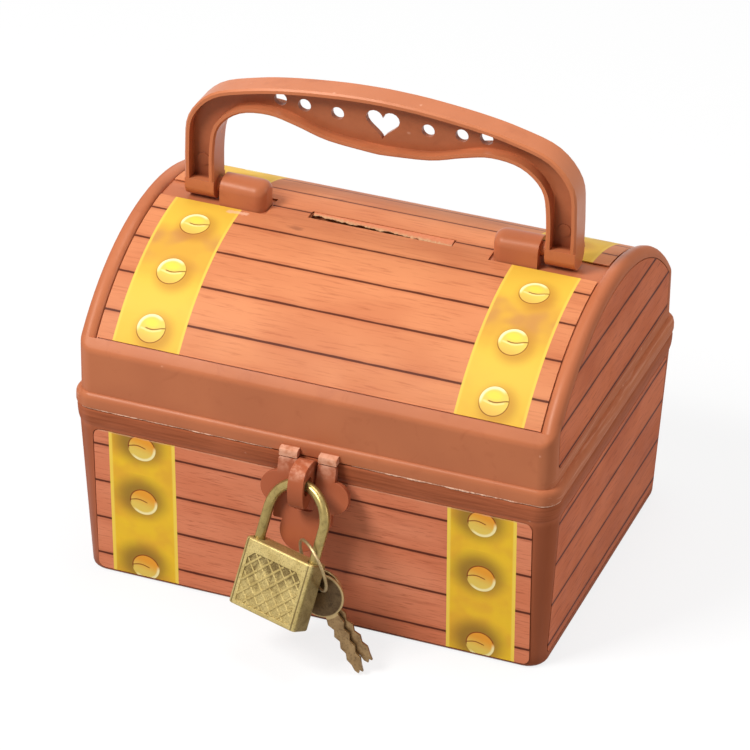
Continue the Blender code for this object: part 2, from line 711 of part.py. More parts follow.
# Finger-grip holes and the heart cut-out
through = Vector((0, HANDLE_WEB + 1.2 * MM, 0))
grip_middle = handle_pivot + HANDLE_HEIGHT - HANDLE_GRIP_HEIGHT / 2
tools = []
for place, rise in zip(HANDLE_HOLE_PLACES, HANDLE_HOLE_RISES):
    for side in (-1, 1):
        centre = Vector((side * place, HANDLE_Y, grip_middle + rise))
        tools.append(rod("hole", centre - through, centre + through, HANDLE_HOLE_RADIUS))
heart = []
for i in range(32):
    t = 2 * math.pi * i / 32
    u = 16 * math.sin(t) ** 3
    v = 13 * math.cos(t) - 5 * math.cos(2 * t) - 2 * math.cos(3 * t) - math.cos(4 * t)
    heart.append((u * HEART_SIZE / 32, v * HEART_SIZE / 34))
centre = Vector((0, HANDLE_Y, grip_middle))
reach = through.y
x_axis = Vector((1, 0, 0))
y_axis = Vector((0, 1, 0))
z_axis = Vector((0, 0, 1))
tools.append(slab("heart", heart, centre, x_axis, z_axis, y_axis, -reach, reach))
combine(handle, tools, "DIFFERENCE")
handle_axis = empty("handle_axis", (0.0, HANDLE_Y, handle_pivot))
finish(handle, PLASTIC, handle_axis)

# Hasp plate with two straps, two side lobes and an end lobe
tilt = math.radians(HASP_TILT)
hasp_origin = Vector((LOCK_X, hasp_top_y, hasp_top_z))
hasp_v = Vector((0, -math.sin(tilt), -math.cos(tilt)))
hasp_n = Vector((0, math.cos(tilt), -math.sin(tilt)))


def hasp_slab(name, outline, low=0.0, high=HASP_THICKNESS):
    return slab(name, outline, hasp_origin, Vector((1, 0, 0)), hasp_v, hasp_n, low, high)


def arc(cu, cv, radius, start, end, steps):
    points = []
    for i in range(steps + 1):
        a = start + (end - start) * i / steps
        points.append((cu + radius * math.cos(a), cv + radius * math.sin(a)))
    return points


end_centre = HASP_LENGTH - HASP_END_LOBE
side_centre = end_centre - HASP_LOBE_SPACING
plate_low = end_centre - HASP_END_LOBE * 0.4
corner = 0.4 * MM
lobe_reach = 0.2 * MM
spread = math.acos(lobe_reach / HASP_SIDE_LOBE)
right_half = [(HASP_HALF_WIDTH - corner, 0.0), (HASP_HALF_WIDTH, corner)]
lobe_u = HASP_HALF_WIDTH - lobe_reach
right_half += arc(lobe_u, side_centre, HASP_SIDE_LOBE, -spread, spread, 16)
right_half += [(HASP_HALF_WIDTH, plate_low - corner), (HASP_HALF_WIDTH - corner, plate_low)]
right_half += arc(0.0, end_centre, HASP_END_LOBE, -math.asin(0.4), math.pi / 2, 12)
left_half = [(-u, v) for u, v in reversed(right_half[:-1])]
hasp = hasp_slab("hasp", right_half + left_half)
slot = rounded_outline(
    -HASP_SLOT_HALF_WIDTH,
    HASP_SLOT_HALF_WIDTH,
    -3 * MM,
    end_centre - 5.8 * MM,
    1.2 * MM,
)
combine(hasp, [hasp_slab("slot", slot, -1 * MM, HASP_THICKNESS + 1 * MM)], "DIFFERENCE")
hasp_axis = empty("hasp_axis", hasp_origin + hasp_n * (HASP_THICKNESS / 2))
finish(hasp, PLASTIC, hasp_axis)

# Padlock hanging in the staple: its frame sits at the crown of the shackle
crown = Vector((LOCK_X + 1.54 * MM, staple_hole_y - 0.25 * MM, staple_hole_z + 0.43 * MM))
lock_turn = (math.radians(PADLOCK_PITCH), 0.0, math.radians(PADLOCK_YAW))
shackle_axis = empty("shackle_axis", crown, lock_turn)
crown_height = CASE_HALF_HEIGHT + SHACKLE_STRAIGHT + SHACKLE_HALF_SPAN
case_frame = empty("case_frame", (0.0, 0.0, -crown_height), parent=shackle_axis)
bpy.context.view_layer.update()
lock_matrix = case_frame.matrix_world.copy()

case_rings = []
for end in (-1, 1):
    steps = ((0.0, 0.4), (0.2, 0.12), (0.5, 0.0))
    for up, inset in steps if end < 0 else reversed(steps):
        z = end * (CASE_HALF_HEIGHT - up * MM)
        half_x = CASE_HALF_WIDTH - inset * MM
        half_y = CASE_HALF_DEPTH - inset * MM
        case_rings.append(rounded_rect(half_x, half_y, (1.4 - inset) * MM, z, 5))
case = loft("padlock_case", case_rings)
panel_w = CASE_HALF_WIDTH - 2.4 * MM
panel_low = 1.3 * MM - CASE_HALF_HEIGHT
panel_high = CASE_HALF_HEIGHT - 3.4 * MM
clip = 2.0 * MM
panel = [
    (-panel_w, panel_low), (panel_w, panel_low), (panel_w, panel_high - clip),
    (panel_w - clip, panel_high), (clip - panel_w, panel_high), (-panel_w, panel_high - clip),
]
tools = []
for sign in (-1, 1):
    face = Vector((0, sign * CASE_HALF_DEPTH, 0))
    tools.append(slab("panel", panel, face, x_axis, z_axis, y_axis * sign, -0.3 * MM, 1 * MM))
case_bore = SHACKLE_RADIUS + CLEARANCE - 0.05 * MM
above = CASE_HALF_HEIGHT + 2 * MM
below = -CASE_HALF_HEIGHT - 2 * MM
long_end = CASE_HALF_HEIGHT - SHACKLE_LONG_LEG
short_end = CASE_HALF_HEIGHT - SHACKLE_SHORT_LEG
plug_top = PLUG_LENGTH - CASE_HALF_HEIGHT
for x, end in ((-SHACKLE_HALF_SPAN, long_end), (SHACKLE_HALF_SPAN, short_end)):
    tools.append(rod("leg_bore", (x, 0, end - 2 * CLEARANCE), (x, 0, above), case_bore, 24))
tools.append(rod("plug_bore", (0, 0, below), (0, 0, plug_top + CLEARANCE), PLUG_RADIUS + CLEARANCE, 24))
combine(case, tools, "DIFFERENCE")
finish(case, BRASS).parent = case_frame

plug = rod("padlock_plug", (0, 0, -CASE_HALF_HEIGHT), (0, 0, plug_top), PLUG_RADIUS, 24)
keyway_low = (-PLUG_RADIUS * 0.65, -KEY_THICKNESS * 0.72, below)
keyway = box("keyway", keyway_low, (PLUG_RADIUS * 0.65, KEY_THICKNESS * 0.72, plug_top - 1.4 * MM))
combine(plug, [keyway], "DIFFERENCE")
finish(plug, BRASS).parent = case_frame

bend = CASE_HALF_HEIGHT + SHACKLE_STRAIGHT
path = [Vector((-SHACKLE_HALF_SPAN, 0, long_end))]
for i in range(33):
    a = math.pi * (1 - i / 32)
    path.append(Vector((SHACKLE_HALF_SPAN * math.cos(a), 0, bend + SHACKLE_HALF_SPAN * math.sin(a))))
path.append(Vector((SHACKLE_HALF_SPAN, 0, short_end)))
shackle = sweep("padlock_shackle", path, SHACKLE_RADIUS, 16, Vector((0, 1, 0)))
finish(shackle, BRASS).parent = case_frame

# Key ring looped round the short leg of the shackle, behind the case
tip = math.radians(KEY_RING_TIP)
turn = math.radians(KEY_RING_TURN)
ring_normal = Vector((math.sin(tip) * math.cos(turn), math.sin(tip) * math.sin(turn), math.cos(tip)))
ring_centre = Vector((SHACKLE_HALF_SPAN - 1.443 * MM, 2.171 * MM, CASE_HALF_HEIGHT - 1.322 * MM))
ring_a = ring_normal.cross(Vector((0, 1, 0.3))).normalized()
ring_b = ring_normal.cross(ring_a)


def ring_point(angle):
    arm = ring_a * math.cos(angle) + ring_b * math.sin(angle)
    return arm * KEY_RING_RADIUS


ring_path = [ring_point(2 * math.pi * i / 48) for i in range(48)]
key_ring = sweep("key_ring", ring_path, KEY_RING_WIRE, 8, ring_normal, True)
finish(key_ring, STEEL)
key_ring.location = ring_centre
key_ring.parent = case_frame

# Flat key: round bow, shoulders, toothed blade and forked tip
key_outline = []
neck_half = 1.8 * MM
neck = math.asin(neck_half / KEY_BOW_RADIUS)
for i in range(33):
    a = neck + (2 * math.pi - 2 * neck) * i / 32
    key_outline.append((KEY_BOW_RADIUS * math.sin(a), KEY_BOW_RADIUS * math.cos(a)))
blade_start = KEY_BOW_RADIUS + 1.6 * MM
teeth = 4
pitch = (KEY_BLADE_LENGTH - 3 * MM) / teeth
left = []
right = []
for i in range(teeth):
    v = blade_start + pitch * i
    wide = (2.35 - 0.12 * i) * MM
    left.append((-wide, v + pitch * 0.30))
    left.append((-1.35 * MM, v + pitch * 0.80))
    right.append((wide, v + pitch * 0.10))
    right.append((1.35 * MM, v + pitch * 0.60))
key_end = KEY_BOW_RADIUS + KEY_BLADE_LENGTH
fork = [(-0.8 * MM, key_end), (-0.1 * MM, key_end - 0.9 * MM), (0.6 * MM, key_end)]
fork.append((1.3 * MM, key_end - 1.2 * MM))
key_outline += left + fork + list(reversed(right))
key_aim = Vector((0.5269, -0.1185, -0.8414))
key_normal = Vector((-0.0253, 0.9876, -0.1551)).normalized()


def make_key(name, ring_angle, swing):
    hole_point = lock_matrix @ (ring_centre + ring_point(math.radians(ring_angle)))
    v_axis = Matrix.Rotation(math.radians(swing), 3, key_normal) @ key_aim
    v_axis = (v_axis - key_normal * v_axis.dot(key_normal)).normalized()
    u_axis = key_normal.cross(v_axis)
    bow = v_axis * (KEY_BOW_RADIUS - KEY_HOLE_RADIUS - KEY_RIM)
    half = KEY_THICKNESS / 2
    key = slab(name, key_outline, bow, u_axis, v_axis, key_normal, -half, half)
    depth = key_normal * KEY_THICKNESS
    combine(key, [rod("hole", -depth, depth, KEY_HOLE_RADIUS)], "DIFFERENCE")
    finish(key, BRASS)
    key.location = hole_point


make_key("key_front", 222.0, 0.0)
make_key("key_back", 237.9, -9.5)
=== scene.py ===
import json
import math
import random
import bmesh
import bpy
from mathutils import Matrix, Vector


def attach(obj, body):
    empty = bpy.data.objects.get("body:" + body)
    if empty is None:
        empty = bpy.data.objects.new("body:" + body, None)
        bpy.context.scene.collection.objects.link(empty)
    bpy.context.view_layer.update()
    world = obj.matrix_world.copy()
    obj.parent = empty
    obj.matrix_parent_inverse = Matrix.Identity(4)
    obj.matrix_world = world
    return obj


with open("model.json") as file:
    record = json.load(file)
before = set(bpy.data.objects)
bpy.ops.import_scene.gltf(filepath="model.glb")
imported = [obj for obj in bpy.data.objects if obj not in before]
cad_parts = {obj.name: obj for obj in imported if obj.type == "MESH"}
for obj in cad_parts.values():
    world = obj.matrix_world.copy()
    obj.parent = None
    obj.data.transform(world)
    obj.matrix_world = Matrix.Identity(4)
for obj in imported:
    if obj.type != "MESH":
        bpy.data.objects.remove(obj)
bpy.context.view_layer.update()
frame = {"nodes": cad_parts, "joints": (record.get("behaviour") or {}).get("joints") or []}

# Viewpoint of the photograph, in metres and radians
CAMERA_AZIMUTH = 0.3637
CAMERA_ELEVATION = 0.54
CAMERA_ROLL = 0.0164
CAMERA_PLACE = Vector((0.358158, -0.944436, 0.655166))
CAMERA_LENS = 203.72

# Colours as red, green and blue from 0 to 255; wood has pale, middle and deep tones
PLASTIC = (182, 106, 70)
PLASTIC_WARM = (190, 112, 74)
GRIP = (190, 112, 72)
GRIP_WARM = (198, 118, 77)
PLASTIC_FLOW_AND_SHADE = (156, 82, 50)
PALE_STRESS_AND_SHEEN = (236, 180, 150)
TUB = (172, 94, 60)
TUB_WARM = (180, 100, 66)
TUB_SHADE = (122, 60, 34)
HASP = (166, 88, 58)
HASP_WARM = (176, 96, 64)
# Painted shade for the handle's recess
RECESS_SHADE = (112, 50, 28)
DOME_WOOD = ((215, 138, 93), (201, 122, 81), (160, 78, 48))
FRONT_WOOD = ((228, 141, 104), (214, 123, 86), (164, 77, 50))
END_WOOD = ((208, 114, 72), (190, 98, 58), (136, 56, 34))
WOOD_LINE = (74, 26, 12)
KNOT = (112, 58, 44)
DOME_LEMON = (228, 182, 66)
DOME_AMBER = (204, 144, 62)
DOME_MAUVE = (188, 126, 80)
DOME_EDGE = (236, 196, 84)
LEMON = (240, 193, 48)
GOLD = (232, 174, 52)
AMBER = (214, 150, 72)
STRAP_EDGE = (248, 214, 88)
OLIVE = (142, 104, 44)
RUST = (176, 112, 48)
SCREW_GOLD = (232, 198, 92)
SCREW_PALE = (252, 238, 176)
SCREW_LEMON = (236, 212, 82)
SCREW_ORANGE = (236, 158, 52)
SCREW_BROWN = (120, 62, 22)
SCREW_RED = (118, 22, 10)
KEY_RIM_GLINT = (206, 180, 128)
PAPER = (206, 160, 118)
PALE_EDGE_AND_GLINT = (238, 196, 168)
PAPER_FRAY = (220, 160, 126)

# Bright, middle and dark tones of the metal pieces
CASE_BRASS = ((202, 180, 118), (166, 142, 82), (84, 64, 30))
PLUG_BRASS = ((170, 148, 92), (136, 112, 64), (84, 66, 36))
SHACKLE_BRASS = ((172, 150, 92), (122, 100, 50), (64, 48, 22))
RING_WIRE = ((172, 150, 108), (128, 106, 70), (66, 50, 30))
KEY_BRASS = ((158, 128, 88), (110, 82, 52), (52, 36, 20))
HINGE_STEEL = ((190, 186, 178), (160, 156, 150), (110, 106, 100))

# Gloss of each plastic and paper, and the tint that it gives to reflections
LID_GLOSS = 0.2
TUB_GLOSS = 0.1
GRIP_GLOSS = 0.26
HASP_GLOSS = 0.2
DOME_GLOSS = 0.1
FRONT_GLOSS = 0.12
END_GLOSS = 0.03
TORN_GLOSS = 0.2
WARM_GLOSS = (1.0, 0.8, 0.68, 1.0)

# Layout of the printed pattern, in millimetres. Planks are a first joint line and a
# spacing, and places on the dome are measured along its arc from the top.
DOME_AXIS_Z = 32.9
DOME_RADIUS = 63.25
DOME_PLANKS = (11.1, 11.87)
DOME_SCREWS = (14.5, 31.96, 49.45)
FRONT_PLANKS = (6.2, 12.08)
FRONT_SCREWS = (4.35, 26.2, 43.95)
LID_END_PLANKS = (62.9, 11.0)
TUB_END_PLANKS = (5.8, 13.1)
DOME_STRAP = 49.1
FRONT_STRAPS = (-49.0, 49.5)
STRAP_HALF_WIDTH = 9.8
BARE_CENTRE = -0.2
BARE_HALF_WIDTH = 4.3
SCREW_RADIUS = 4.1
DOME_AMBER_ARC = 25.0
DOME_BRUISE_ARC = 23.0
DOME_PALE_ARC = 41.0
# Place of a crease with a painted glint, along x and along the arc
DOME_CREASE_GLINT = (-37.6, 5.4)
FRONT_TOP = 46.9

# Where the plastic is marked or has painted shade, in millimetres, with depths counted towards
# the front
END_START = 65.5
TAB_Z = 54.9
TAB_FRONT = 52.9
BEAD_Z = 57.0
BEAD_END = 67.0
RIM_Z = 50.6
RIM_FRONT = 53.5
CORNER_X = 61.0
CORNER_Y = 42.0
CORNER_TOP = 48.5
FOOT_TOP = 5.0
STAPLE_BACK = 53.6
STAPLE_TOP = 53.0
HASP_BEND = (48.0, 53.5)

# Outline of the handle's recess, in millimetres. HANDLE_SHOULDER and HANDLE_INNER_TURN
# are where a curve starts and how fast it falls, per square millimetre.
HANDLE_TOP = 137.0
HANDLE_BOW = 0.003
HANDLE_SHOULDER = (44.0, 0.045)
HANDLE_BELLY = 120.6
HANDLE_BELLY_ENDS = (12.0, 31.0)
HANDLE_BELLY_RISE = 5.4
HANDLE_INNER_TURN = (36.0, 0.055)
HANDLE_LEG = (49.2, 55.4)
HANDLE_RIB = 1.2
HANDLE_DEPTH = 2.6
# HANDLE_SHADE is the height over which the recess's painted shade deepens downwards
HANDLE_SHADE = (117.0, 102.0)

# Padlock's recessed faces, its lattice and the keys, in millimetres. A lattice bar is a
# slope, half a width at the foot and at the crest, and a height.
PANEL_HALF_WIDTH = 9.3
PANEL_LOW = -8.15
PANEL_HIGH = 6.05
PANEL_CLIP = 2.0
PANEL_FACE = 3.15
CASE_FACE = 3.45
CASE_HALF_WIDTH = 11.7
CASE_GROOVE = 10.45
LATTICE_PITCH = 2.8
LATTICE_SHORTEST = 0.6
LATTICE_ROOT = -0.06
LATTICE_BARS = ((1, 0.5, 0.2, 0.34), (-1, 0.34, 0.12, 0.24))
KEY_BOW_RADIUS = 6.2
KEY_BOWS = {"key_front": (10.35, 20.7), "key_back": (9.2, 21.4)}

# Coin slot with its torn paper, and the lid's lower edge with its flash, in millimetres.
# The edge is half a length, half a depth and a corner radius, and its reach is what each
# of them grows by. A flash is a name, a start and end along the edge, a thickness and a seed.
SLOT_HALF_LENGTH = 20.7
SLOT_BACK = 1.8
SLOT_TOP = 95.9
FRINGE_STEPS = 120
FRINGE_SEED = 7
FRINGE_SHORTEST = 0.8
FRINGE_LONGEST = 3.1
LID_EDGE = (68.294, 51.743, 4.2)
LID_EDGE_REACH = (1.6, 1.1, 1.4)
LID_EDGE_Z = 53.5
FLASH_STEP = 0.55
FLASHES = (("lid_flash_right", 12.5, 73.0, 1.2, 3), ("lid_flash_left", -10.5, -66.0, 0.45, 5))

# Smoothing of the CAD nodes, in metres and degrees
JOIN_DISTANCE = 1e-5
SHARP_ANGLE = 34.0
HANDLE_SHARP_ANGLE = 14.0
BEVEL_ANGLE = 38.0
BEVEL_SEGMENTS = 2
SOFT_EDGES = {
    "hasp": 0.0005, "handle": 0.00022, "padlock_case": 0.00028,
    "key_front": 0.00012, "key_back": 0.00012,
}

# Studio, in metres and watts: a lamp is a name, a place, a size and a power
LAMPS = (
    ("key", (-0.5, -0.6, 0.95), 0.42, 13.5),
    ("overhead", (0.05, 0.15, 1.15), 0.5, 4.0),
    ("right_back", (1.0, 0.25, 0.5), 0.5, 3.6),
)
LAMP_TARGET = (0.0, 0.0, 0.06)
SKY_LEVEL = 0.24
FLOOR_SIZE = 6.0
FLOOR_LIT = 0.5
FLOOR_SEEN = 0.9
FLOOR_GLOW = 0.8


def linear(colour):
    """Turn a 0 to 255 colour into the linear values that a shader takes."""
    values = []
    for channel in colour:
        share = channel / 255
        values.append(share / 12.92 if share <= 0.04045 else ((share + 0.055) / 1.055) ** 2.4)
    return (*values, 1.0)


class Field:
    """A number that varies over a surface and takes part in plain arithmetic."""

    def __init__(self, surface, socket):
        self.surface = surface
        self.socket = socket

    def __add__(self, other):
        return self.surface.math("ADD", self, other)

    def __radd__(self, other):
        return self.surface.math("ADD", self, other)

    def __sub__(self, other):
        return self.surface.math("SUBTRACT", self, other)

    def __rsub__(self, other):
        return self.surface.math("SUBTRACT", other, self)

    def __mul__(self, other):
        return self.surface.math("MULTIPLY", self, other)

    def __abs__(self):
        return self.surface.math("ABSOLUTE", self)

    def sign(self):
        return self.surface.math("SIGN", self)

    def sin(self):
        return self.surface.math("SINE", self)

    def step(self, low, high):
        """Rise smoothly from 0 where the field is low to 1 where it is high."""
        node = self.surface.node("ShaderNodeMapRange", interpolation_type="SMOOTHSTEP")
        self.surface.feed(node.inputs["Value"], self)
        if low < high:
            limits = (low, high, 0.0, 1.0)
        else:
            limits = (high, low, 1.0, 0.0)
        for name, value in zip(("From Min", "From Max", "To Min", "To Max"), limits):
            node.inputs[name].default_value = value
        return Field(self.surface, node.outputs["Result"])

    def band(self, centre, half_width, soft):
        """One inside a band of the field, falling to 0 over the soft distance."""
        return abs(self - centre).step(half_width + soft, half_width)


class Surface:
    """A material whose colour, roughness and relief come from nodes."""

    def __init__(self, name, metallic=0.0):
        self.material = bpy.data.materials.new(name)
        self.material.use_nodes = True
        self.tree = self.material.node_tree
        self.shader = self.tree.nodes["Principled BSDF"]
        self.shader.inputs["Metallic"].default_value = metallic
        coordinates = self.node("ShaderNodeTexCoord")
        scaled = self.node("ShaderNodeVectorMath", operation="SCALE")
        scaled.inputs["Scale"].default_value = 1000.0
        self.tree.links.new(coordinates.outputs["Object"], scaled.inputs[0])
        self.place = scaled.outputs["Vector"]
        split = self.node("ShaderNodeSeparateXYZ")
        self.tree.links.new(self.place, split.inputs[0])
        self.x = Field(self, split.outputs["X"])
        self.y = Field(self, split.outputs["Y"])
        self.z = Field(self, split.outputs["Z"])

    def node(self, kind, **settings):
        made = self.tree.nodes.new(kind)
        for name, value in settings.items():
            setattr(made, name, value)
        return made

    def feed(self, socket, value):
        """Give a socket a field, a colour field, another socket or a plain number."""
        if isinstance(value, Field):
            self.tree.links.new(value.socket, socket)
        elif isinstance(value, bpy.types.NodeSocket):
            self.tree.links.new(value, socket)
        else:
            socket.default_value = value

    def math(self, operation, *values):
        made = self.node("ShaderNodeMath", operation=operation)
        for socket, value in zip(made.inputs, values):
            self.feed(socket, value)
        return Field(self, made.outputs[0])

    def length(self, u, v):
        return self.math("SQRT", u * u + v * v)

    def vector(self, x, y, z):
        made = self.node("ShaderNodeCombineXYZ")
        for socket, value in zip(made.inputs, (x, y, z)):
            self.feed(socket, value)
        return made.outputs[0]

    def along(self, direction, origin):
        """Distance in millimetres from the origin along a direction."""
        dot = self.node("ShaderNodeVectorMath", operation="DOT_PRODUCT")
        self.feed(dot.inputs[0], self.place)
        dot.inputs[1].default_value = direction
        offset = Vector(origin).dot(Vector(direction))
        return Field(self, dot.outputs["Value"]) - offset

    def noise(self, size, detail=2.0, roughness=0.5, where=None, distortion=0.0):
        """Noise from 0 to 1 whose main features are about size millimetres wide."""
        made = self.node("ShaderNodeTexNoise")
        self.feed(made.inputs["Vector"], self.place if where is None else where)
        made.inputs["Scale"].default_value = 1.0 / size
        made.inputs["Detail"].default_value = detail
        made.inputs["Roughness"].default_value = roughness
        made.inputs["Distortion"].default_value = distortion
        return Field(self, made.outputs["Fac"])

    def cells(self, size, where=None):
        """Distance to the nearest scattered point, in cells of the given size."""
        made = self.node("ShaderNodeTexVoronoi")
        self.feed(made.inputs["Vector"], self.place if where is None else where)
        made.inputs["Scale"].default_value = 1.0 / size
        return Field(self, made.outputs["Distance"])

    def mix(self, factor, first, second):
        """Blend two colours by a factor from 0 to 1."""
        made = self.node("ShaderNodeMix", data_type="RGBA")
        self.feed(made.inputs["Factor"], factor)
        for name, value in (("A", first), ("B", second)):
            sockets = [s for s in made.inputs if s.name == name and s.type == "RGBA"]
            self.feed(sockets[0], linear(value) if isinstance(value, tuple) else value)
        return [s for s in made.outputs if s.type == "RGBA"][0]

    def finish(self, colour, roughness, height=None, depth=0.1, **constants):
        """Connect the colour, roughness and relief, in millimetres, to the shader."""
        self.feed(self.shader.inputs["Base Color"], colour)
        self.feed(self.shader.inputs["Roughness"], roughness)
        if height is not None:
            bump = self.node("ShaderNodeBump")
            bump.inputs["Strength"].default_value = 1.0
            bump.inputs["Distance"].default_value = depth * 0.001
            self.feed(bump.inputs["Height"], height)
            self.feed(self.shader.inputs["Normal"], bump.outputs["Normal"])
        for name, value in constants.items():
            self.shader.inputs[name.replace("_", " ")].default_value = value
        return self.material


def wood(surface, u, v, colours, planks, seed, contrast, fineness=1.0, heavy=0.3):
    """Printed planks along u, with grain, knots and dark joint lines across v."""
    pale, mid, deep = colours
    first_line, spacing = planks
    stretched = surface.vector(u * (0.07 * fineness), v * fineness, seed)
    grain = surface.noise(0.75, 4.0, 0.62, stretched, 0.3)
    streak = surface.noise(2.6, 3.0, 0.6, surface.vector(u * 0.09, v, seed + 9.0), 0.6)
    broad = surface.noise(16.0, 2.0, 0.5, surface.vector(u * 0.5, v, seed + 4.0))
    colour = surface.mix(broad.step(0.3, 0.72), mid, pale)
    colour = surface.mix(streak.step(0.52, 0.82) * (0.6 * contrast), colour, deep)
    colour = surface.mix(grain.step(0.5, 0.74) * contrast, colour, deep)
    spots = surface.cells(19.0, surface.vector(u * 0.62, v * 1.5, seed + 2.0))
    ragged = surface.noise(1.1, 3.0, 0.6, surface.vector(u * 0.4, v, seed))
    smudge = (spots + (ragged - 0.5) * 0.12).step(0.115, 0.03)
    colour = surface.mix(smudge * 0.45, colour, KNOT)
    row = surface.math("FLOORED_MODULO", v - first_line + spacing / 2, spacing) - spacing / 2
    wander = surface.noise(9.0, 2.0, 0.5, surface.vector(u, v * 0.2, seed + 6.0)) - 0.5
    gap = abs(row + wander * 0.25)
    colour = surface.mix(gap.step(1.5, 0.2) * 0.3, colour, deep)
    weight = heavy + wander * 0.3
    line = 1.0 - (gap - weight).step(-0.08, 0.14)
    colour = surface.mix(line * 0.92, colour, WOOD_LINE)
    return colour, line


def screw_dome(surface, colour, du, dv):
    """A pale golden screw head with a wavy slot; dv grows downwards."""
    radius = surface.length(du, dv)
    halo = surface.length(du - 1.2, dv - 1.0)
    colour = surface.mix(halo.step(7.4, 3.2) * 0.55, colour, RUST)
    outline = radius.step(SCREW_RADIUS + 0.28, SCREW_RADIUS)
    lower = (dv + du * 0.25).step(-1.6, 2.4)
    colour = surface.mix(outline * (0.22 + lower * 0.68), colour, SCREW_BROWN)
    disc = radius.step(SCREW_RADIUS - 0.02, SCREW_RADIUS - 0.2)
    face = surface.mix((dv - du * 0.2).step(0.4, 4.2) * 0.5, SCREW_GOLD, AMBER)
    glow = surface.math("SQRT", (du + 0.2) * (du + 0.2) * 0.5 + (dv + 1.5) * (dv + 1.5) * 1.6)
    face = surface.mix(glow.step(2.2, 0.8), face, SCREW_LEMON)
    rim = radius.step(SCREW_RADIUS - 1.2, SCREW_RADIUS - 0.5) * (du * 0.6 + dv).step(-0.4, -2.6)
    face = surface.mix(rim, face, SCREW_PALE)
    wave = (du * 0.85 + 1.36).sin() * 0.35 - (du + 1.6) * 0.06 + 0.1
    slot = abs(dv - wave).step(0.26, 0.1) * du.step(-2.0, -1.2)
    shine = abs(dv - wave - 0.5).step(0.45, 0.1) * abs(du).step(3.4, 2.6)
    face = surface.mix(shine * 0.4, face, SCREW_PALE)
    face = surface.mix(slot * 0.85, face, SCREW_BROWN)
    return surface.mix(disc, colour, face)


def screw_front(surface, colour, du, dv):
    """An orange screw head with a dark red upper arc and slot; dv grows downwards."""
    radius = surface.length(du, dv)
    halo = surface.math("SQRT", (du + 0.8) * (du + 0.8) * 0.6 + (dv + 1.2) * (dv + 1.2) * 0.8)
    colour = surface.mix(halo.step(8.0, 2.8) * 0.85, colour, OLIVE)
    disc = radius.step(SCREW_RADIUS + 0.08, SCREW_RADIUS - 0.1)
    side = (dv - du * 0.3).step(-2.6, 2.2)
    face = surface.mix(side, SCREW_ORANGE, SCREW_GOLD)
    rim = radius.step(SCREW_RADIUS - 1.0, SCREW_RADIUS - 0.5)
    face = surface.mix(rim * (dv + du * 0.5).step(0.4, 2.6) * 0.9, face, SCREW_PALE)
    arc = radius.step(SCREW_RADIUS - 0.42, SCREW_RADIUS - 0.2)
    face = surface.mix(arc * (dv + du * 0.25).step(0.6, -0.8) * 0.9, face, SCREW_RED)
    wave = (du * 0.8 - 0.4).sin() * 0.42
    slot = abs(dv + 0.2 - wave).step(0.24, 0.1) * du.step(1.4, 0.8)
    face = surface.mix(slot * 0.85, face, SCREW_RED)
    return surface.mix(disc, colour, face)


def nearest(surface, value, centres):
    """Offset of a field from the closest of a few centres."""
    best = None
    for centre in centres:
        offset = value - centre
        if best is None:
            best = offset
            continue
        closer = surface.math("LESS_THAN", abs(offset), abs(best))
        best = best + closer * (offset - best)
    return best


def dome_label():
    """The curved label over the lid: planks, two straps and three screws a side."""
    surface = Surface("printed_dome")
    angle = surface.math("ARCTAN2", surface.y * -1.0, surface.z - DOME_AXIS_Z)
    arc = angle * DOME_RADIUS
    colour, line = wood(
        surface, surface.x, arc, DOME_WOOD, DOME_PLANKS, seed=3.0, contrast=0.42
    )
    across = abs(surface.x) - DOME_STRAP
    reach = abs(across)
    near = nearest(surface, abs(arc), DOME_SCREWS)
    bare = arc.band(BARE_CENTRE, BARE_HALF_WIDTH, 0.1)
    inside = reach.step(STRAP_HALF_WIDTH + 0.05, STRAP_HALF_WIDTH - 0.05) * (1.0 - bare)
    blotch = surface.noise(9.0, 2.0, 0.5)
    tint = (abs(arc - DOME_AMBER_ARC).step(13.0, 3.0) * 0.5 + blotch - 0.2).step(0.3, 0.9)
    gold = surface.mix(tint * 0.6, DOME_LEMON, DOME_AMBER)
    bruise = surface.noise(7.0, 1.0, 0.5).step(0.4, 0.7)
    bruise = bruise * abs(arc - DOME_BRUISE_ARC).step(9.0, 3.0)
    gold = surface.mix(bruise * 0.6, gold, DOME_MAUVE)
    gold = surface.mix(abs(arc - DOME_PALE_ARC).step(9.0, 1.0) * 0.4, gold, DOME_EDGE)
    edge = reach.step(STRAP_HALF_WIDTH - 0.9, STRAP_HALF_WIDTH - 0.5)
    heads = screw_dome(surface, gold, across * surface.x.sign(), near)
    heads = surface.mix(edge * 0.8, heads, DOME_EDGE)
    colour = surface.mix(inside, colour, heads)
    fold = surface.noise(1.4, 3.0, 0.6)
    crease_x, crease_arc = DOME_CREASE_GLINT
    # A crease in the label with a painted glint along it
    crease_glint = (surface.x + arc * 0.35).band(crease_x, 2.6, 0.8)
    crease_glint = crease_glint * (arc - fold * 2.0).band(crease_arc, 0.35, 0.4)
    colour = surface.mix(crease_glint * 0.55, colour, PALE_EDGE_AND_GLINT)
    return printed_finish(surface, colour, line, DOME_GLOSS)


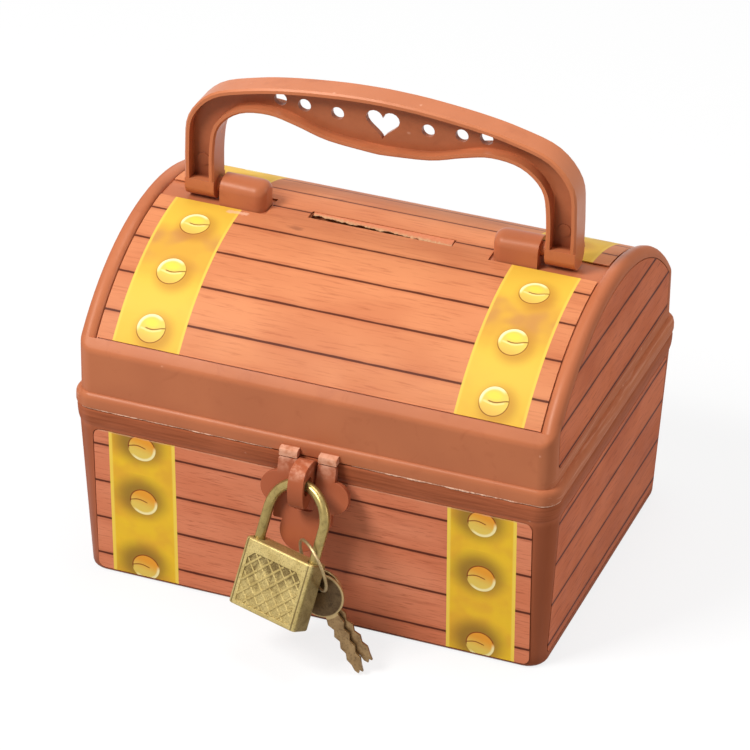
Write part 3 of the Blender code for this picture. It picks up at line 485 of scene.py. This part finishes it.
def front_label():
    """The label on the front and back of the tub, with straps and screws."""
    surface = Surface("printed_front")
    colour, line = wood(
        surface, surface.x, surface.z, FRONT_WOOD, FRONT_PLANKS,
        seed=21.0, contrast=0.62, fineness=1.7
    )
    across = nearest(surface, surface.x, FRONT_STRAPS)
    reach = abs(across)
    near = nearest(surface, surface.z, FRONT_SCREWS) * -1.0
    inside = reach.step(STRAP_HALF_WIDTH + 0.05, STRAP_HALF_WIDTH - 0.05)
    blotch = surface.noise(8.0, 2.0, 0.5)
    gold = surface.mix(blotch.step(0.36, 0.66), LEMON, GOLD)
    heads = screw_front(surface, gold, across, near)
    edge = reach.step(STRAP_HALF_WIDTH - 1.2, STRAP_HALF_WIDTH - 0.7)
    heads = surface.mix(edge * 0.85, heads, STRAP_EDGE)
    colour = surface.mix(inside, colour, heads)
    torn = surface.noise(3.0, 3.0, 0.6)
    frayed = 0.25 + torn.step(0.35, 0.6) * 0.35
    top_edge = surface.z.step(FRONT_TOP - 0.25, FRONT_TOP) * frayed
    colour = surface.mix(top_edge, colour, PAPER_FRAY)
    return printed_finish(surface, colour, line, FRONT_GLOSS)


def end_label(name, planks, seed):
    """The plank labels on the ends of the tub and of the lid."""
    surface = Surface(name)
    colour, line = wood(
        surface, surface.y, surface.z, END_WOOD, planks,
        seed, contrast=0.6, fineness=1.6, heavy=0.42
    )
    return printed_finish(surface, colour, line, END_GLOSS)


def printed_finish(surface, colour, line, gloss):
    """Satin paper with a faint tooth, pressed in a little along the plank lines."""
    relief = surface.noise(0.5, 3.0, 0.6) * 0.3 + line * -0.5
    rough = 0.42 + surface.noise(6.0) * 0.14
    return surface.finish(colour, rough, relief, 0.02, Specular_IOR_Level=gloss)


def moulded_plastic(name, pale, warm, mark, gloss):
    """Brown moulded plastic with flow marks and scuffs, with painted shade at its ends, where it
    is also duller.
    """
    surface = Surface(name)
    broad = surface.noise(22.0, 2.0, 0.5)
    fine = surface.noise(0.9, 3.0, 0.6)
    cloud = surface.noise(2.4, 3.0, 0.6)
    colour = surface.mix(broad.step(0.3, 0.7), pale, warm)
    flow = surface.noise(7.0, 3.0, 0.55, distortion=1.2)
    colour = surface.mix(flow.step(0.55, 0.8) * 0.3, colour, PLASTIC_FLOW_AND_SHADE)
    specks = surface.cells(9.0) + (fine - 0.5) * 0.1
    scuff = specks.step(0.07, 0.03)
    colour = surface.mix(scuff * 0.5, colour, PALE_STRESS_AND_SHEEN)
    wave = surface.noise(5.0, 2.0, 0.5) * 0.6 + fine * 0.12
    colour, ridge = mark(surface, colour, cloud)
    wave = wave + ridge
    # Painted shade on the plastic's ends, which are also made rougher
    shaded_ends = abs(surface.x).step(END_START, END_START + 2.0)
    colour = surface.mix(shaded_ends * 0.3, colour, PLASTIC_FLOW_AND_SHADE)
    rough = 0.25 + surface.noise(3.0, 4.0, 0.6) * 0.16 + scuff * 0.2 + shaded_ends * 0.35
    return surface.finish(
        colour, rough, wave, 0.06, Specular_IOR_Level=gloss, Specular_Tint=WARM_GLOSS
    )


def lid_marks(surface, colour, cloud):
    """Pale stress marks on the lid's two tabs, and raised draw lines along its ends with painted
    highlights on them.
    """
    forward = surface.y * -1.0
    tab = surface.z.band(TAB_Z, 1.3, 0.3) * forward.step(TAB_FRONT, TAB_FRONT + 0.4)
    colour = surface.mix(tab * cloud.step(0.25, 0.6) * 0.7, colour, PALE_STRESS_AND_SHEEN)
    # Raised draw lines on the lid's ends, painted pale as highlights
    along = surface.vector(surface.x * 0.3, surface.y * 0.03, surface.z)
    drawn = surface.noise(0.6, 3.0, 0.6, along).step(0.5, 0.7)
    drawn = drawn * abs(surface.x).step(BEAD_END, BEAD_END + 1.2)
    drawn = drawn * surface.z.band(BEAD_Z, 3.6, 1.0)
    return surface.mix(drawn * 0.4, colour, PALE_STRESS_AND_SHEEN), drawn * 0.5


def rim_lines_and_shade(surface, colour, cloud):
    """Draw lines and painted shade along the tub's rim, painted shade on its front corners and
    towards its foot, and the staple's pale bend.
    """
    along = surface.vector(surface.x * 0.04, surface.y * 0.04, surface.z)
    drawn = surface.noise(0.7, 3.0, 0.65, along)
    forward = surface.y * -1.0
    # Painted shade under the lid's bead, streaked with draw lines
    rim = surface.z.band(RIM_Z, 2.0, 0.9) * forward.step(RIM_FRONT + 0.7, RIM_FRONT)
    colour = surface.mix(rim * (0.12 + drawn.step(0.35, 0.7) * 0.5), colour, TUB_SHADE)
    # Painted shade on the tub's front corners
    corner_shade = abs(surface.x).step(CORNER_X, CORNER_X + 5.0)
    corner_shade = corner_shade * forward.step(CORNER_Y, CORNER_Y + 5.0)
    corner_shade = corner_shade * surface.z.step(CORNER_TOP, CORNER_TOP - 2.5)
    colour = surface.mix(corner_shade * 0.45, colour, TUB_SHADE)
    # Painted shade deepening towards the tub's foot
    foot = surface.z.step(FOOT_TOP, 0.4)
    colour = surface.mix(foot * (0.35 + cloud * 0.5), colour, TUB_SHADE)
    staple = forward.step(STAPLE_BACK, STAPLE_BACK + 0.6)
    colour = surface.mix(staple * 0.6, colour, HASP)
    bend = surface.z.step(STAPLE_TOP - 1.4, STAPLE_TOP)
    bend = bend * forward.step(STAPLE_BACK + 0.4, STAPLE_BACK + 1.9)
    colour = surface.mix(bend * cloud.step(0.4, 0.7) * 0.4, colour, PALE_STRESS_AND_SHEEN)
    return colour, rim * drawn * 1.2


def recess_painted_shade(surface, colour, cloud):
    """Painted shade in the handle's recess, between its outer and its inner rib, deeper low on
    the legs.
    """
    out = abs(surface.x)
    shoulder_start, shoulder_fall = HANDLE_SHOULDER
    turn_start, turn_fall = HANDLE_INNER_TURN
    leg_inside, leg_outside = HANDLE_LEG
    shoulder = surface.math("MAXIMUM", out - shoulder_start, 0.0)
    top = HANDLE_TOP - out * out * HANDLE_BOW - shoulder * shoulder * shoulder_fall
    turn = surface.math("MAXIMUM", out - turn_start, 0.0)
    belly = out.step(*HANDLE_BELLY_ENDS) * HANDLE_BELLY_RISE + HANDLE_BELLY
    belly = belly - turn * turn * turn_fall
    under = (top - surface.z).step(HANDLE_RIB, HANDLE_RIB + 0.6)
    under = under * out.step(leg_outside, leg_outside - 0.5)
    above = (surface.z - belly).step(HANDLE_RIB + 0.2, HANDLE_RIB + 0.8)
    above = surface.math("MAXIMUM", above, out.step(leg_inside, leg_inside + 0.4))
    sunk = abs(surface.y).step(HANDLE_DEPTH, HANDLE_DEPTH - 1.4) * under * above
    # Painted shade: the recess is darkened, more towards the bottom of the legs
    shade = surface.z.step(*HANDLE_SHADE) * 0.4 + 0.28 + cloud * 0.2
    return surface.mix(sunk * shade, colour, RECESS_SHADE), 0.0


def strap_marks(surface, colour, cloud):
    """Pale stress marks where the hasp's straps bend."""
    bent = surface.z.step(*HASP_BEND) * cloud.step(0.3, 0.7)
    return surface.mix(bent * 0.6, colour, PALE_STRESS_AND_SHEEN), 0.0


def lock_frame():
    """Centre of the padlock's case in millimetres, with its three directions."""
    centre = Vector(joint("plug_turn")["pos_m"]) * 1000.0
    z_axis = Vector(joint("plug_turn")["axis"]).normalized()
    x_axis = -Vector(joint("padlock_hang")["axis"]).normalized()
    return centre, x_axis, z_axis.cross(x_axis), z_axis


def worn_metal(name, tones, grain=0.5, wear=0.5, polish=0.3, depth=0.06, mark=None):
    """Worn brass or steel, darker and duller where patina has gathered."""
    bright, mid, dark = tones
    surface = Surface(name, metallic=0.75)
    fine = surface.noise(grain, 5.0, 0.7)
    patina = surface.noise(4.5, 4.0, 0.6, distortion=0.5)
    colour = surface.mix(patina.step(0.34, 0.7) * wear, bright, mid)
    colour = surface.mix(fine.step(0.46, 0.72) * wear, colour, dark)
    height = fine * 0.6 + patina * 0.3
    if mark is not None:
        colour, relief = mark(surface, colour, patina, dark)
        height = height + relief
    rough = polish + patina * 0.16 + fine * 0.16
    return surface.finish(colour, rough, height, depth)


def case_marks(surface, colour, patina, dark):
    """Soot in the padlock's recessed faces, a groove beside them and painted shade on its narrow
    sides.
    """
    centre, x_axis, y_axis, z_axis = lock_frame()
    across = abs(surface.along(x_axis, centre))
    upward = surface.along(z_axis, centre)
    depth = abs(surface.along(y_axis, centre))
    inside = across.step(PANEL_HALF_WIDTH + 0.1, PANEL_HALF_WIDTH)
    inside = inside * upward.step(PANEL_LOW - 0.1, PANEL_LOW)
    inside = inside * upward.step(PANEL_HIGH + 0.1, PANEL_HIGH)
    low = depth.step(CASE_FACE - 0.05, PANEL_FACE + 0.04) * inside
    stipple = surface.noise(0.35, 3.0, 0.7)
    soot = (patina + upward * 0.04).step(0.46, 0.7) * 0.55
    colour = surface.mix(low * (soot + 0.04 + stipple.step(0.35, 0.7) * 0.4), colour, dark)
    groove = across.band(CASE_GROOVE, 0.16, 0.12)
    colour = surface.mix(groove * depth.step(3.2, 3.4) * 0.7, colour, dark)
    # Painted shade on the case's narrow sides, varied by the patina noise
    side = across.step(CASE_HALF_WIDTH - 0.5, CASE_HALF_WIDTH - 0.15)
    colour = surface.mix(side * (0.4 + patina * 0.5), colour, dark)
    return colour, stipple * low * 1.8 - groove * 1.2


def key_bow_reflections(bow_x, bow_z):
    """Marks for a key whose bow has the given centre: a painted dark reflection over the bow,
    varied by patina, and a painted bright reflection on its raised rim.
    """
    def mark(surface, colour, patina, dark):
        radius = surface.length(surface.x - bow_x, surface.z - bow_z)
        # Painted dark reflection over the bow
        bow = radius.step(KEY_BOW_RADIUS + 0.1, KEY_BOW_RADIUS - 0.9)
        colour = surface.mix(bow * (0.45 + patina * 0.5), colour, dark)
        # Painted bright reflection along the bow's raised rim
        rim = radius.band(KEY_BOW_RADIUS, 0.35, 0.3)
        return surface.mix(rim * 0.6, colour, KEY_RIM_GLINT), rim * 0.6
    return mark


def assign(material, *names):
    """Give CAD nodes a finished material."""
    for name in names:
        slots = frame["nodes"][name].data.materials
        slots.clear()
        slots.append(material)


def joined_and_smooth(sharpest):
    """Geometry nodes that join the CAD's loose triangles and smooth edges under an angle."""
    group = bpy.data.node_groups.new("joined_and_smooth", "GeometryNodeTree")
    for direction in ("INPUT", "OUTPUT"):
        group.interface.new_socket("Geometry", in_out=direction, socket_type="NodeSocketGeometry")
    given = group.nodes.new("NodeGroupInput")
    result = group.nodes.new("NodeGroupOutput")
    merge = group.nodes.new("GeometryNodeMergeByDistance")
    merge.inputs["Distance"].default_value = JOIN_DISTANCE
    faces = group.nodes.new("GeometryNodeSetShadeSmooth")
    faces.domain = "FACE"
    edges = group.nodes.new("GeometryNodeSetShadeSmooth")
    edges.domain = "EDGE"
    edges.inputs["Shade Smooth"].default_value = False
    angle = group.nodes.new("GeometryNodeInputMeshEdgeAngle")
    sharp = group.nodes.new("FunctionNodeCompare")
    sharp.operation = "GREATER_THAN"
    sharp.inputs[1].default_value = math.radians(sharpest)
    group.links.new(angle.outputs["Unsigned Angle"], sharp.inputs[0])
    group.links.new(sharp.outputs[0], edges.inputs["Selection"])
    group.links.new(given.outputs[0], merge.inputs["Geometry"])
    group.links.new(merge.outputs[0], faces.inputs["Geometry"])
    group.links.new(faces.outputs[0], edges.inputs["Geometry"])
    group.links.new(edges.outputs[0], result.inputs[0])
    return group


def refine(widths):
    """Smooth each CAD node's curves, and round the sharp edges of those with a width."""
    rounded = joined_and_smooth(SHARP_ANGLE)
    chamfered = joined_and_smooth(HANDLE_SHARP_ANGLE)
    for name, node in frame["nodes"].items():
        smooth = node.modifiers.new("joined_and_smooth", "NODES")
        smooth.node_group = chamfered if name == "handle" else rounded
        if name in widths:
            bevel = node.modifiers.new("soft_edges", "BEVEL")
            bevel.width = widths[name]
            bevel.segments = BEVEL_SEGMENTS
            bevel.limit_method = "ANGLE"
            bevel.angle_limit = math.radians(BEVEL_ANGLE)
        normals = node.modifiers.new("even_normals", "WEIGHTED_NORMAL")
        normals.keep_sharp = True


def piece(name, mesh_builder, material, body):
    """Turn a bmesh into an object that rides on a body."""
    mesh = bpy.data.meshes.new(name)
    bmesh.ops.recalc_face_normals(mesh_builder, faces=mesh_builder.faces)
    mesh_builder.to_mesh(mesh)
    mesh_builder.free()
    made = bpy.data.objects.new(name, mesh)
    bpy.context.scene.collection.objects.link(made)
    made.data.materials.append(material)
    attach(made, body)


def joint(name):
    return next(found for found in frame["joints"] if found["name"] == name)


def clip_line(origin, direction, outline):
    """The span of a line that lies inside a convex outline, given anticlockwise."""
    low, high = -1e9, 1e9
    for a, b in zip(outline, outline[1:] + outline[:1]):
        inward = Vector((a[1] - b[1], b[0] - a[0]))
        start = (origin - Vector(a)).dot(inward)
        rate = direction.dot(inward)
        if abs(rate) < 1e-9:
            if start < 0:
                return None
            continue
        if rate > 0:
            low = max(low, -start / rate)
        else:
            high = min(high, -start / rate)
    return (low, high) if high - low > LATTICE_SHORTEST else None


def lattice(material):
    """Raised diagonal bars over the recessed faces of the padlock."""
    centre, x_axis, y_axis, z_axis = lock_frame()
    half = PANEL_HALF_WIDTH - 0.1
    low = PANEL_LOW + 0.1
    high = PANEL_HIGH - 0.1
    outline = [
        (-half, low), (half, low), (half, high - PANEL_CLIP),
        (half - PANEL_CLIP, high), (PANEL_CLIP - half, high), (-half, high - PANEL_CLIP),
    ]
    builder = bmesh.new()
    for side in (-1, 1):
        for slope, foot, crest, height in LATTICE_BARS:
            along = Vector((1.0, slope)).normalized()
            across = Vector((-along.y, along.x))
            profile = (
                (foot, LATTICE_ROOT), (crest, height), (-crest, height), (-foot, LATTICE_ROOT)
            )
            for step in range(-6, 7):
                origin = Vector((0.0, -1.0)) + across * (step * LATTICE_PITCH)
                span = clip_line(origin, along, outline)
                if span is None:
                    continue
                rings = []
                for distance in span:
                    ring = []
                    for offset, rise in profile:
                        flat = origin + along * distance + across * offset
                        depth = side * (PANEL_FACE + rise)
                        spot = centre + x_axis * flat.x + z_axis * flat.y + y_axis * depth
                        ring.append(spot)
                    rings.append(ring)
                add_strip(builder, rings)
    piece("padlock_lattice", builder, material, "case")


def add_strip(builder, rings):
    """A closed strip through a row of rings with equal point counts, in millimetres."""
    rows = [[builder.verts.new(Vector(point) * 0.001) for point in ring] for ring in rings]
    count = len(rows[0])
    for first, last in zip(rows, rows[1:]):
        for i in range(count):
            k = (i + 1) % count
            builder.faces.new((first[i], first[k], last[k], last[i]))
    builder.faces.new(rows[0])
    builder.faces.new(list(reversed(rows[-1])))


def ribbon(name, rings, material, body):
    """A piece that is one closed strip through a row of rings."""
    builder = bmesh.new()
    add_strip(builder, rings)
    piece(name, builder, material, body)


def slot_fringe(material):
    """The torn paper that hangs over the far side of the coin slot."""
    chance = random.Random(FRINGE_SEED)
    reach = SLOT_HALF_LENGTH - 0.3
    back = SLOT_BACK + 0.06
    hang = 1.2
    rings = []
    for i in range(FRINGE_STEPS + 1):
        share = 2.0 * i / FRINGE_STEPS - 1.0
        x = reach * share
        target = 1.95 + 0.75 * share
        hang += (target - hang) * 0.3 + chance.uniform(-0.22, 0.22)
        hang = min(max(hang, FRINGE_SHORTEST), FRINGE_LONGEST)
        droop = chance.uniform(0.0, 0.12) + 0.16 * hang
        front = SLOT_BACK - hang
        rings.append((
            (x, back, SLOT_TOP - 0.7),
            (x, back, SLOT_TOP),
            (x, (front + SLOT_BACK) / 2, SLOT_TOP - 0.04 - droop * 0.3),
            (x, front, SLOT_TOP - 0.1 - droop),
            (x, front + 0.1, SLOT_TOP - 0.34 - droop),
        ))
    ribbon("coin_slot_fringe", rings, material, "lid")


def lid_edge_point(travel, reach, z):
    """A point of the lid's lower edge, the travel in millimetres along the front and round."""
    half_x, half_y, radius = (a + b * reach for a, b in zip(LID_EDGE, LID_EDGE_REACH))
    edge_half_x, _, edge_radius = LID_EDGE
    past = (abs(travel) - (edge_half_x - edge_radius)) / edge_radius
    if past <= 0:
        return travel, -half_y, z
    turn = min(past, math.pi / 2)
    x = half_x - radius + radius * math.sin(turn)
    y = radius - half_y - radius * math.cos(turn) + (past - turn) * edge_radius
    return math.copysign(x, travel), y, z


def lid_flash(name, start, end, thickness, seed, material):
    """A thin ragged line of moulding flash under the lid's lower edge."""
    chance = random.Random(seed)
    count = int(abs(end - start) / FLASH_STEP)
    out = 0.5
    rings = []
    for i in range(count + 1):
        travel = start + (end - start) * i / count
        out += (0.5 - out) * 0.2 + chance.uniform(-0.3, 0.3)
        out = min(max(out, 0.0), 1.0)
        fade = min(1.0, 5.0 * i / count, 5.0 * (count - i) / count)
        grown = thickness * out * fade
        reach = 0.84 + 0.22 * out * fade
        low = LID_EDGE_Z + 0.02 - 0.16 * grown
        rings.append((
            lid_edge_point(travel, 0.7, LID_EDGE_Z + 0.05),
            lid_edge_point(travel, reach, low),
            lid_edge_point(travel, reach + 0.03, LID_EDGE_Z + 0.1 + 0.08 * grown),
            lid_edge_point(travel, 0.8, LID_EDGE_Z + 0.3),
        ))
    ribbon(name, rings, material, "lid")


def torn_edge(name, pale, amount, printed=False):
    """Pale torn paper or scraped plastic with darker flecks, printed away from its edge."""
    surface = Surface(name)
    fleck = surface.noise(0.7, 4.0, 0.65)
    colour = surface.mix(fleck.step(0.4, 0.7) * amount, pale, PLASTIC)
    if printed:
        worn = surface.y + surface.x * 0.035 + (fleck - 0.5) * 1.6
        colour = surface.mix(worn.step(-0.1, 1.1) * 0.8, colour, FRONT_WOOD[1])
    rough = 0.6 + fleck * 0.1
    return surface.finish(colour, rough, fleck, 0.1, Specular_IOR_Level=TORN_GLOSS)


def ground():
    """A pale floor that stays white in the picture and keeps a soft shadow."""
    bpy.ops.mesh.primitive_plane_add(size=FLOOR_SIZE, location=(0.0, 0.0, 0.0))
    floor = bpy.context.object
    floor.name = "floor"
    material = bpy.data.materials.new("pale_floor")
    material.use_nodes = True
    tree = material.node_tree
    tree.nodes.clear()
    output = tree.nodes.new("ShaderNodeOutputMaterial")
    seen = seen_rays(tree)
    matt = tree.nodes.new("ShaderNodeBsdfDiffuse")
    shade = tree.nodes.new("ShaderNodeMapRange")
    shade.inputs["To Min"].default_value = FLOOR_LIT
    shade.inputs["To Max"].default_value = FLOOR_SEEN
    tree.links.new(seen, shade.inputs["Value"])
    tree.links.new(shade.outputs["Result"], matt.inputs["Color"])
    glow = tree.nodes.new("ShaderNodeEmission")
    glow.inputs["Strength"].default_value = 1.0
    share = tree.nodes.new("ShaderNodeMath")
    share.operation = "MULTIPLY"
    share.inputs[1].default_value = FLOOR_GLOW
    blend = tree.nodes.new("ShaderNodeMixShader")
    tree.links.new(seen, share.inputs[0])
    tree.links.new(share.outputs[0], blend.inputs["Fac"])
    tree.links.new(matt.outputs[0], blend.inputs[1])
    tree.links.new(glow.outputs[0], blend.inputs[2])
    tree.links.new(blend.outputs[0], output.inputs["Surface"])
    floor.data.materials.append(material)


def seen_rays(tree):
    """One for rays that the camera, a gloss or a clear body sends, else nought."""
    path = tree.nodes.new("ShaderNodeLightPath")
    total = path.outputs["Is Camera Ray"]
    for name in ("Is Glossy Ray", "Is Transmission Ray"):
        largest = tree.nodes.new("ShaderNodeMath")
        largest.operation = "MAXIMUM"
        tree.links.new(total, largest.inputs[0])
        tree.links.new(path.outputs[name], largest.inputs[1])
        total = largest.outputs[0]
    return total


def sky(level):
    """A white world for what is seen, and a weaker even light for the object."""
    world = bpy.data.worlds.new("studio")
    world.use_nodes = True
    bpy.context.scene.world = world
    tree = world.node_tree
    background = tree.nodes["Background"]
    background.inputs["Color"].default_value = (1.0, 1.0, 1.0, 1.0)
    strength = tree.nodes.new("ShaderNodeMapRange")
    strength.inputs["To Min"].default_value = level
    strength.inputs["To Max"].default_value = 1.0
    tree.links.new(seen_rays(tree), strength.inputs["Value"])
    tree.links.new(strength.outputs["Result"], background.inputs["Strength"])


def softbox(name, place, target, size, power):
    """A square area light that faces a target."""
    lamp = bpy.data.lights.new(name, "AREA")
    lamp.shape = "SQUARE"
    lamp.size = size
    lamp.energy = power
    holder = bpy.data.objects.new(name, lamp)
    holder.location = place
    holder.rotation_mode = "QUATERNION"
    holder.rotation_quaternion = (Vector(target) - Vector(place)).to_track_quat("-Z", "Y")
    bpy.context.scene.collection.objects.link(holder)


def place_camera():
    """Put the camera where the photograph was taken from."""
    back = Vector((
        math.sin(CAMERA_AZIMUTH) * math.cos(CAMERA_ELEVATION),
        -math.cos(CAMERA_AZIMUTH) * math.cos(CAMERA_ELEVATION),
        math.sin(CAMERA_ELEVATION),
    ))
    level = Vector((math.cos(CAMERA_AZIMUTH), math.sin(CAMERA_AZIMUTH), 0.0))
    upright = back.cross(level)
    right = level * math.cos(CAMERA_ROLL) + upright * math.sin(CAMERA_ROLL)
    up = upright * math.cos(CAMERA_ROLL) - level * math.sin(CAMERA_ROLL)
    lens = bpy.data.cameras.new("photo_camera")
    lens.lens = CAMERA_LENS
    lens.sensor_width = 36.0
    lens.clip_start = 0.01
    holder = bpy.data.objects.new("photo_camera", lens)
    turn = Matrix((right, up, back)).transposed().to_4x4()
    holder.matrix_world = Matrix.Translation(CAMERA_PLACE) @ turn
    bpy.context.scene.collection.objects.link(holder)
    bpy.context.scene.camera = holder


assign(moulded_plastic("lid_plastic", PLASTIC, PLASTIC_WARM, lid_marks, LID_GLOSS), "lid_shell")
assign(moulded_plastic("tub_plastic", TUB, TUB_WARM, rim_lines_and_shade, TUB_GLOSS), "base_tub")
assign(moulded_plastic("handle_plastic", GRIP, GRIP_WARM, recess_painted_shade, GRIP_GLOSS), "handle")
assign(moulded_plastic("hasp_plastic", HASP, HASP_WARM, strap_marks, HASP_GLOSS), "hasp")
assign(dome_label(), "label_dome")
assign(front_label(), "label_front", "label_back")
assign(end_label("printed_tub_end", TUB_END_PLANKS, 43.0), "label_left", "label_right")
assign(end_label("printed_lid_end", LID_END_PLANKS, 57.0), "label_lid_left", "label_lid_right")
case_brass = worn_metal("cast_brass", CASE_BRASS, grain=0.4, wear=0.68, mark=case_marks)
assign(case_brass, "padlock_case")
assign(worn_metal("turned_brass", PLUG_BRASS), "padlock_plug")
shackle_brass = worn_metal(
    "olive_brass", SHACKLE_BRASS, grain=1.2, wear=0.4, polish=0.13, depth=0.02
)
assign(shackle_brass, "padlock_shackle")
assign(worn_metal("ring_wire", RING_WIRE, grain=0.6, wear=0.4), "key_ring")
for key, bow in KEY_BOWS.items():
    key_brass = worn_metal(
        key + "_brass", KEY_BRASS, grain=0.7, wear=0.6, polish=0.2, depth=0.04,
        mark=key_bow_reflections(*bow)
    )
    assign(key_brass, key)
assign(worn_metal("hinge_steel", HINGE_STEEL), "hinge_pin_left", "hinge_pin_right")
lattice(case_brass)
slot_fringe(torn_edge("torn_paper", PAPER, amount=0.5, printed=True))
flash_plastic = torn_edge("flash_plastic", PALE_EDGE_AND_GLINT, amount=0.9)
for name, start, end, thickness, seed in FLASHES:
    lid_flash(name, start, end, thickness, seed, flash_plastic)
refine(SOFT_EDGES)

ground()
sky(SKY_LEVEL)
for name, place, size, power in LAMPS:
    softbox(name, place, LAMP_TARGET, size, power)
place_camera()
bpy.context.scene.view_settings.view_transform = "Standard"
